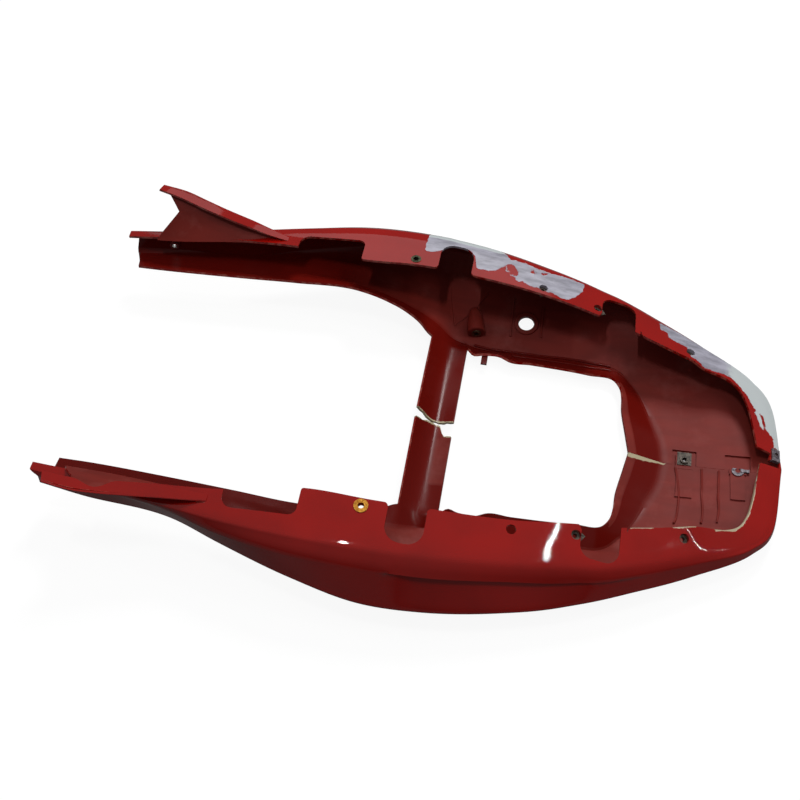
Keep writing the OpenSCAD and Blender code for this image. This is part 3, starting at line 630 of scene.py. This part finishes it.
# Materials
def add(tree, kind, inputs=(), out=0, **settings):
    """Adds a node and gives one of its outputs; inputs are values or source sockets, by name or place."""
    n = tree.nodes.new(kind if "Node" in kind else "ShaderNode" + kind)
    for k, v in settings.items():
        setattr(n, k, v)
    for k, v in (inputs.items() if isinstance(inputs, dict) else enumerate(inputs)):
        if isinstance(v, bpy.types.NodeSocket):
            tree.links.new(v, n.inputs[k])
        else:
            n.inputs[k].default_value = v
    return n.outputs[out] if n.outputs else n


def start(name):
    mat = bpy.data.materials.new(name)
    mat.use_nodes = True
    mat.node_tree.nodes.clear()
    return mat, mat.node_tree, add(mat.node_tree, "TexCoord", out="Object")


def dim(colour, share):
    return tuple(share * c for c in colour[:3]) + (1,)


def layers(tree, colour, *covers):
    """Lays colours one over another, each where its factor is 1."""
    for factor, over in covers:
        colour = add(tree, "Mix", {0: factor, 6: colour, 7: over}, 2, data_type="RGBA")
    return colour


def patches(tree, where, mm, low, high, detail=3.0, rough=0.5, most=1.0):
    """Soft patches about mm across: 0 where the noise is under low, most where it is over high."""
    n = add(tree, "TexNoise", {"Vector": where, "Scale": 1 / (mm * MM), "Detail": detail, "Roughness": rough})
    return add(tree, "MapRange", {0: n, "From Min": low, "From Max": high, "To Max": most})


def torn(tree, where, name, ragged_mm, sharp=0.9):
    """1 inside a mark whose outline is ragged by ragged_mm, from its stored distance in millimetres."""
    distance = add(tree, "Attribute", out="Fac", attribute_name=name)
    n = add(tree, "TexNoise", {"Vector": where, "Scale": 1 / (5 * MM), "Detail": 4, "Roughness": 0.62})
    n = add(tree, "Math", (n, 0.5), operation="SUBTRACT")
    d = add(tree, "Math", (n, ragged_mm * 2, distance), operation="MULTIPLY_ADD")
    return add(tree, "MapRange", {0: d, "From Min": -sharp / 2, "From Max": sharp / 2},
               interpolation_type="SMOOTHSTEP")


def surfaced(tree, values, height, depth_mm):
    """Ends a material with its surface and a relief of depth_mm."""
    normal = add(tree, "Bump", {"Strength": 1.0, "Distance": depth_mm * MM, "Height": height})
    add(tree, "OutputMaterial", (add(tree, "BsdfPrincipled", {**values, "Normal": normal}),))


def gloss_paint(colours, edge=False):
    """Two-pack gloss paint on moulded ABS: deep red, clear reflections, hairline scratches, peeled
    to a matte lilac primer with ragged borders, cream plastic where an edge is broken."""
    mat, t, where = start(FINISHES[EDGE if edge else OUTSIDE])
    peel, raw = torn(t, where, "peel", 2.3), torn(t, where, "raw", 2.2 if edge else 1.5)
    # Sanding smears about 26 mm long and 8 mm wide
    smear = add(t, "Mapping", {"Vector": where, "Scale": (1, 3.2, 1), "Rotation": (0, 0, 0.3)})
    primer = layers(t, tuple(colours.primer),
                    (patches(t, smear, 26, 0.38, 0.64, 5, 0.62), dim(colours.primer, 0.58)),
                    (torn(t, where, "pale", 1.2, 1.6), tuple(colours.undercoat)))
    covers = [(patches(t, where, 60, 0.35, 0.7), dim(colours.gloss, 0.82))]
    if edge:
        covers.append((patches(t, where, 7, 0.45, 0.62, 4, 0.6, 0.75), linear("#B9685B")))
    colour = layers(t, tuple(colours.gloss), *covers, (peel, primer), (raw, tuple(colours.raw)))
    bare = add(t, "Math", (peel, raw), operation="MAXIMUM")
    # Hairlines about 8 x 0.8 x 4 mm, coarser than real ones so that they show
    scratch = add(t, "Mapping", {"Vector": where, "Scale": (40, 420, 90), "Rotation": (0, 0, 0.35)})
    fine = add(t, "TexNoise", {"Vector": scratch, "Scale": 3.0, "Detail": 5.0})
    dull = add(t, "Math", (fine, 0.04, 0.02), operation="MULTIPLY_ADD")
    rough = add(t, "Math", (bare, 0.4, dull), operation="MULTIPLY_ADD")
    orange = add(t, "TexNoise", {"Vector": where, "Scale": 1 / (1.6 * MM), "Detail": 2})
    orange = add(t, "Math", (orange, 0.05), operation="MULTIPLY")
    height = add(t, "Math", (bare, -1.0, orange), operation="MULTIPLY_ADD")
    surfaced(t, {"Base Color": colour, "Roughness": rough, "IOR": 1.5}, height, 0.25)
    return mat


def moulded_inside(colours):
    """The bare inner face of the moulding: semi-matte ABS, dusty red-brown with flow marks and rubs,
    glossier where paint reached the frame round the opening, the bar and the arms, and there a darker deep red that
    is partly painted shade."""
    mat, t, where = start(FINISHES[INSIDE])
    # Mask of the glossy overspray, which also carries painted shade on the frame, the bar and the arms.
    sheen = add(t, "Attribute", out="Fac", attribute_name="gloss_and_painted_shade")
    # Flow marks about 83 x 18 x 31 mm
    flow = add(t, "Mapping", {"Vector": where, "Scale": (3, 14, 8)})
    streak = add(t, "TexNoise", {"Vector": flow, "Scale": 4.0, "Detail": 4.0, "Distortion": 0.6})
    dust = add(t, "TexNoise", {"Vector": where, "Scale": 1 / (45 * MM), "Detail": 5, "Roughness": 0.6})
    # The deep red #5C0B06 is darker than the top coat: painted shade laid over the overspray's real gloss.
    colour = layers(
        t, tuple(colours.inside),
        (add(t, "MapRange", {0: streak, "From Min": 0.35, "From Max": 0.65}), dim(colours.inside, 0.78)),
        (add(t, "MapRange", {0: dust, "From Min": 0.52, "From Max": 0.75, "To Max": 0.3}), linear("#9A5A55")),
        (add(t, "Math", (sheen, 0.92), operation="MULTIPLY"), linear("#5C0B06")),
        (torn(t, where, "raw", 1.5), tuple(colours.raw)))
    dull = add(t, "Math", (dust, 0.2, 0.46), operation="MULTIPLY_ADD")
    rough = add(t, "Math", (sheen, -0.36, dull), operation="MULTIPLY_ADD")
    grain = add(t, "TexNoise", {"Vector": where, "Scale": 1 / (1.2 * MM), "Detail": 3})
    surfaced(t, {"Base Color": colour, "Roughness": rough, "Specular IOR Level": 0.15}, grain, 0.05)
    return mat


def worn_metal(name, light, dark, rough, spread_mm=2.0, metallic=1.0):
    """A plated steel pressing or turned insert: mottled by oxide, duller in its low spots."""
    mat, t, where = start(name)
    n = add(t, "TexNoise", {"Vector": where, "Scale": 1 / (spread_mm * MM), "Detail": 5, "Roughness": 0.65})
    worn = add(t, "MapRange", {0: n, "From Min": 0.38, "From Max": 0.62})
    colour = add(t, "Mix", {0: worn, 6: linear(dark), 7: linear(light)}, 2, data_type="RGBA")
    dull = add(t, "Math", (n, -0.25, rough + 0.15), operation="MULTIPLY_ADD")
    grit = add(t, "TexNoise", {"Vector": where, "Scale": 1 / (0.5 * MM), "Detail": 3})
    surfaced(t, {"Base Color": colour, "Metallic": metallic, "Roughness": dull}, grit, 0.06)
    return mat


def finish(kind):
    """The material of a kind of face, made when it is first used."""
    colours = bpy.context.scene.cowl_colours
    return bpy.data.materials.get(FINISHES[kind]) or (
        moulded_inside(colours) if kind == INSIDE else gloss_paint(colours, kind == EDGE))


# Operators
def finish_half(context, left):
    sizes = context.scene.cowl_sizes
    half = Half(sizes)
    side = "left" if left else "right"
    points, faces, kinds = shell(half, LEFT_END if left else RIGHT_END)
    obj = new_piece(side + "_moulding", points, faces, not left, kinds)
    raised, cut, pockets = half_steps(half, sizes, left)
    steps = [("UNION", new_piece("add", *made, not left, INSIDE)) for made in raised]
    steps += [("DIFFERENCE", new_piece("cut", *made, not left, EDGE)) for made in cut]
    steps += [("DIFFERENCE", new_piece("pocket", *made, not left, INSIDE)) for made in pockets]
    carve(obj, steps)
    gloss_and_painted_shade(obj, half, not left)
    wear(obj, left)
    obj.data.shade_smooth()
    obj.data.set_sharp_from_angle(angle=math.radians(27))
    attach(obj, "root")
    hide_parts(side + "_cowl_half")


class COWL_OT_left_half(bpy.types.Operator):
    """Builds the left moulding"""
    bl_idname = "cowl.left_half"
    bl_label = "Left half"

    def execute(self, context):
        finish_half(context, True)
        return {"FINISHED"}


class COWL_OT_right_half(bpy.types.Operator):
    """Builds the right moulding"""
    bl_idname = "cowl.right_half"
    bl_label = "Right half"

    def execute(self, context):
        finish_half(context, False)
        return {"FINISHED"}


class COWL_OT_fins(bpy.types.Operator):
    """Builds the leaning fin over each arm"""
    bl_idname = "cowl.fins"
    bl_label = "Fins"

    def execute(self, context):
        half = Half(context.scene.cowl_sizes)
        w = half.wall
        for left in (True, False):
            rows = []
            for t in np.linspace(0, 11, 67):
                sink = np.array([0, 0, 3.4 * np.clip((t - 8) / 3, 0, 1) ** 2])
                b = guide(FIN_BASE, t) + half.shift - [0, 7 * np.clip((11 - t) / 3, 0, 1), w / 2]
                m, s = guide(FIN_MID, t) + half.shift - sink, guide(FIN_TOP, t) + half.shift - sink
                a = guide(FIN_LIP, t) + half.shift - sink
                if not left and 2 < t < 5.6:
                    a = mix(a, s, 0.5 * math.sin(math.pi * (t - 2) / 3.6) ** 2)
                p, q = s + 3 * unit(m - s), s + 2.5 * unit(a - s)
                roll = [(1 - k) ** 2 * p + 2 * k * (1 - k) * s + k * k * q for k in np.linspace(0, 1, 6)]
                rows.append([mix(b, m, k) for k in np.linspace(0, 1, 6)]
                            + [mix(m, p, k) for k in (0.25, 0.5, 0.75)] + roll
                            + [mix(q, a, k) for k in (0.25, 0.5, 0.75, 1)])
            g = np.array(rows)
            thick = w * (1 - 0.75 * np.clip((np.linspace(0, 11, 67) - 8) / 3, 0, 1))[:, None]
            inner = g + 0.85 * thick[..., None] * grid_normals(g)
            inner[:, 0] = g[:, 0] - thick * [0, 1.3, 0]
            pts, faces = sheet(inner, g)
            cols = g.shape[1] - 1
            count = (g.shape[0] - 1) * cols
            kinds = [INSIDE if k % cols < 8 else EDGE for k in range(count)] + [OUTSIDE] * count
            kinds += [EDGE] * (len(faces) - 2 * count)
            obj = new_piece(("left" if left else "right") + "_fin", pts, faces, not left, kinds)
            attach(obj, "root")
            mark(obj, "gloss_and_painted_shade", np.zeros(len(obj.data.vertices)))
            wear(obj, left)
            obj.data.shade_smooth()
            obj.data.set_sharp_from_angle(angle=math.radians(38))
        return {"FINISHED"}


class COWL_OT_ribs(bpy.types.Operator):
    """Sweeps the moulding ribs along their paths on the inner faces"""
    bl_idname = "cowl.ribs"
    bl_label = "Moulding ribs"

    def execute(self, context):
        sizes = context.scene.cowl_sizes
        half = Half(sizes)
        paths = {
            "left_ribs": (False, [([104.2, 11.91], [106.7, 13.86]), ([140.2, 11.98], [142.1, 13.62])]),
            "left_frame_bead": (False, [([66, 14.9], [144, 15.0], [226, 14.85]),
                                        ([113, 15.6], [185, 15.6], [227, 15.5])]),
            "right_ribs": (True, [([274.3, 13.74], [298.4, 14.54]), ([279.9, 13.18], [290.9, 13.54], [299.3, 13.67]),
                                  ([283.4, 12.79], [292.3, 13.08], [299.3, 13.16])]),
        }
        for name, (mirror, lines) in paths.items():
            curves = []
            for line in lines:
                pts = []
                for a, b in zip(line[:-1], line[1:]):
                    pts += [half.spot(*mix(np.array(a, float), np.array(b, float), k / 12)) for k in range(12)]
                pts.append(half.spot(*line[-1]))
                curves.append(np.array(pts) * ([1, -1, 1] if mirror else [1, 1, 1]) * MM)
            sweep(name, curves, sizes.rib_width, sizes.rib_height)
        return {"FINISHED"}


def rib_tree(material):
    """Geometry nodes: a low rib of a given width and height swept along each edge path."""
    tree = bpy.data.node_groups.new("moulding_rib", "GeometryNodeTree")
    face = tree.interface
    face.new_socket("Paths", in_out="INPUT", socket_type="NodeSocketGeometry")
    for label, default in (("Rib width", 2 * MM), ("Rib height", 2 * MM)):
        face.new_socket(label, in_out="INPUT", socket_type="NodeSocketFloat").default_value = default
    face.new_socket("Ribs", in_out="OUTPUT", socket_type="NodeSocketGeometry")
    given = add(tree, "NodeGroupInput").node.outputs
    path = add(tree, "GeometryNodeMeshToCurve", (given["Paths"],))
    double = add(tree, "Math", (given["Rib height"], 2.0), operation="MULTIPLY")
    profile = add(tree, "GeometryNodeCurvePrimitiveQuadrilateral", {"Width": given["Rib width"], "Height": double})
    swept = add(tree, "GeometryNodeCurveToMesh", {"Curve": path, "Profile Curve": profile, "Fill Caps": True})
    real = add(tree, "GeometryNodeRealizeInstances", (swept,))
    add(tree, "NodeGroupOutput", (add(tree, "GeometryNodeSetMaterial", {"Geometry": real, "Material": material}),))
    return tree


def sweep(name, curves, width, height):
    """A piece of its own from ribs along paths, as a plain mesh."""
    verts, edges = [], []
    for c in curves:
        edges += [(len(verts) + k, len(verts) + k + 1) for k in range(len(c) - 1)]
        verts += [tuple(p) for p in c]
    mesh = bpy.data.meshes.new(name)
    mesh.from_pydata(verts, edges, [])
    obj = bpy.data.objects.new(name, mesh)
    bpy.context.scene.collection.objects.link(obj)
    tree = bpy.data.node_groups.get("moulding_rib") or rib_tree(finish(INSIDE))
    mod = obj.modifiers.new("ribs", "NODES")
    mod.node_group = tree
    for item in tree.interface.items_tree:
        if item.in_out == "INPUT" and item.name in ("Rib width", "Rib height"):
            mod[item.identifier] = width if item.name == "Rib width" else height
    result = bpy.data.meshes.new_from_object(obj.evaluated_get(bpy.context.evaluated_depsgraph_get()))
    obj.modifiers.clear()
    obj.data = result
    for key in ("raw", "peel", "pale"):
        mark(obj, key, np.full(len(result.vertices), -20))
    mark(obj, "gloss_and_painted_shade", np.full(len(result.vertices), 1.0 if name == "left_frame_bead" else 0.0))
    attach(obj, "root")


class COWL_OT_fixings(bpy.types.Operator):
    """Finishes the grommets, nuts, clips and inserts"""
    bl_idname = "cowl.fixings"
    bl_label = "Metal fixings"

    def execute(self, context):
        # Cold-pressed spring steel, oxidised: a brown-black bloom over dull grey
        nut = worn_metal("oxidised_steel_pressing", "#5E5448", "#26201B", 0.55, 2.0, 0.5)
        # Folded strip steel, phosphated: soft dark grey-brown with hardly a glint
        clip = worn_metal("phosphated_steel_clip", "#544B42", "#241F1B", 0.55, 2.0, 0.5)
        # Broken strip steel, weathered: dull lilac-grey
        grey = worn_metal("dull_grey_steel", "#857E84", "#3F3A40", 0.6, 2.0, 0.5)
        # Yellow-passivated zinc on turned steel: a warm orange sheen, browner where worn
        zinc = worn_metal("yellow_zinc_plate", "#BE8838", "#7E4F1B", 0.32, 3.0)
        # Turned steel sleeve, weathered: dark olive with a weak glint
        olive = worn_metal("weathered_steel_sleeve", "#4E4F3E", "#23231B", 0.5)
        # Turned aluminium: a bright, even silver
        bright = worn_metal("turned_aluminium", "#C9C9C6", "#8C8C88", 0.25)
        # Turned steel, oiled and dusty: dull yellow-grey
        steel = worn_metal("turned_steel_insert", "#8A8067", "#3F3A2E", 0.4)
        metals = {"right_grommet": zinc, "left_grommet": olive, "seam_clip_front": clip, "seam_clip_rear": grey,
                  "tail_tab": grey, "boss_insert": steel, "arm_insert": bright}
        for name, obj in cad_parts.items():
            if "cowl_half" in name:
                continue
            mat = nut if "spring_nut" in name else metals[name]
            obj.data.materials.clear()
            obj.data.materials.append(mat)
        return {"FINISHED"}


class COWL_OT_stage(bpy.types.Operator):
    """Sets the floor, backdrop, lights and camera"""
    bl_idname = "cowl.stage"
    bl_label = "Stage"

    def execute(self, context):
        scene = context.scene
        mat = bpy.data.materials.new("white_studio_floor")
        mat.use_nodes = True
        t = mat.node_tree
        t.nodes.clear()
        ray = add(t, "LightPath").node.outputs
        seen = add(t, "Math", (ray["Is Camera Ray"], ray["Is Transmission Ray"]), operation="MAXIMUM")
        faint = add(t, "Math", (ray["Is Glossy Ray"], 0.06), operation="MULTIPLY")
        seen = add(t, "Math", (seen, faint), operation="MAXIMUM")
        glow = add(t, "Math", (seen, 0.92), operation="MULTIPLY")
        body = add(t, "BsdfDiffuse", {"Color": linear("#5E5E5E")})
        lit = add(t, "Emission", {"Color": (1, 1, 1, 1), "Strength": glow})
        add(t, "OutputMaterial", (add(t, "AddShader", (body, lit)),))
        mesh = bpy.data.meshes.new("floor")
        s = 6.0  # half the floor's side, in metres
        mesh.from_pydata([(-s, -s, 0), (s, -s, 0), (s, s, 0), (-s, s, 0)], [], [(0, 1, 2, 3)])
        floor = bpy.data.objects.new("floor", mesh)
        scene.collection.objects.link(floor)
        floor.data.materials.append(mat)
        world = bpy.data.worlds.new("studio")
        scene.world = world
        world.use_nodes = True
        t = world.node_tree
        height = add(t, "SeparateXYZ", (add(t, "TexCoord", out="Generated"),), "Z")
        plain = add(t, "Math", (height, 0.26, 0.08), operation="MULTIPLY_ADD")
        seen = add(t, "Math", (plain, add(t, "LightPath", out="Is Camera Ray")), operation="MAXIMUM")
        t.nodes["Background"].inputs[0].default_value = (1, 1, 1, 1)
        t.links.new(seen, t.nodes["Background"].inputs[1])
        # Place and sizes in metres, tilt about X and turn about Z in degrees
        for name, place, tilt, turn, wide, long, watts in (
                ("key_softbox", (0.35, 1.5, 2.2), -34, 0, 0.6, 0.6, 37),
                ("tube_over_the_rear", (1.12, 0.25, 2.3), 0, 14, 0.003, 1.3, 8),
                ("tube_behind_the_tail", (2.3, 0.3, 2.3), 0, 70, 0.01, 0.9, 8),
                ("tube_over_the_arms", (-0.3, -0.25, 2.3), 0, 0, 0.03, 0.3, 9),
                ("back_panel", (-0.3, 2.2, 2.1), -46, 0, 2.6, 1.0, 7)):
            light = bpy.data.lights.new(name, "AREA")
            light.shape, light.size, light.size_y, light.energy = "RECTANGLE", wide, long, watts
            obj = bpy.data.objects.new(name, light)
            scene.collection.objects.link(obj)
            obj.matrix_world = (Matrix.Translation(place) @ Matrix.Rotation(math.radians(turn), 4, "Z")
                                @ Matrix.Rotation(math.radians(tilt), 4, "X"))
        cam = bpy.data.cameras.new("camera")
        cam.lens, cam.sensor_width, cam.clip_end = 50, 36, 50
        obj = bpy.data.objects.new("camera", cam)
        scene.collection.objects.link(obj)
        az, el, distance = math.radians(10.0), math.radians(55.3), 1.2
        back = Vector((math.sin(az) * math.cos(el), -math.cos(az) * math.cos(el), math.sin(el)))
        target = Vector((-0.0318, 0, 0.0526))
        right = Vector((math.cos(az), math.sin(az), 0))
        up = back.cross(right)
        turn = Matrix((right, up, back)).transposed().to_4x4()
        obj.matrix_world = Matrix.Translation(target + distance * back) @ turn
        scene.camera = obj
        scene.view_settings.view_transform = "Standard"
        return {"FINISHED"}


class COWL_PT_panel(bpy.types.Panel):
    """Lists the sizes, colours and steps"""
    bl_label = "Seat cowl"
    bl_idname = "COWL_PT_panel"
    bl_space_type = "VIEW_3D"
    bl_region_type = "UI"
    bl_category = "Seat cowl"

    def draw(self, context):
        for group in (context.scene.cowl_sizes, context.scene.cowl_colours):
            box = self.layout.box()
            for key in group.__annotations__:
                box.prop(group, key)
        for op in STEPS:
            self.layout.operator(op.bl_idname)


STEPS = [COWL_OT_stage, COWL_OT_left_half, COWL_OT_right_half, COWL_OT_fins, COWL_OT_ribs, COWL_OT_fixings]
CLASSES = [CowlSizes, CowlColours, *STEPS, COWL_PT_panel]


def register():
    for c in CLASSES:
        bpy.utils.register_class(c)
    bpy.types.Scene.cowl_sizes = bpy.props.PointerProperty(type=CowlSizes)
    bpy.types.Scene.cowl_colours = bpy.props.PointerProperty(type=CowlColours)


def unregister():
    del bpy.types.Scene.cowl_colours
    del bpy.types.Scene.cowl_sizes
    for c in reversed(CLASSES):
        bpy.utils.unregister_class(c)


def main():
    register()
    bpy.ops.cowl.stage()
    bpy.ops.cowl.left_half()
    bpy.ops.cowl.right_half()
    bpy.ops.cowl.fins()
    bpy.ops.cowl.ribs()
    bpy.ops.cowl.fixings()
    bpy.context.view_layer.update()


if __name__ == "__main__":
    main()
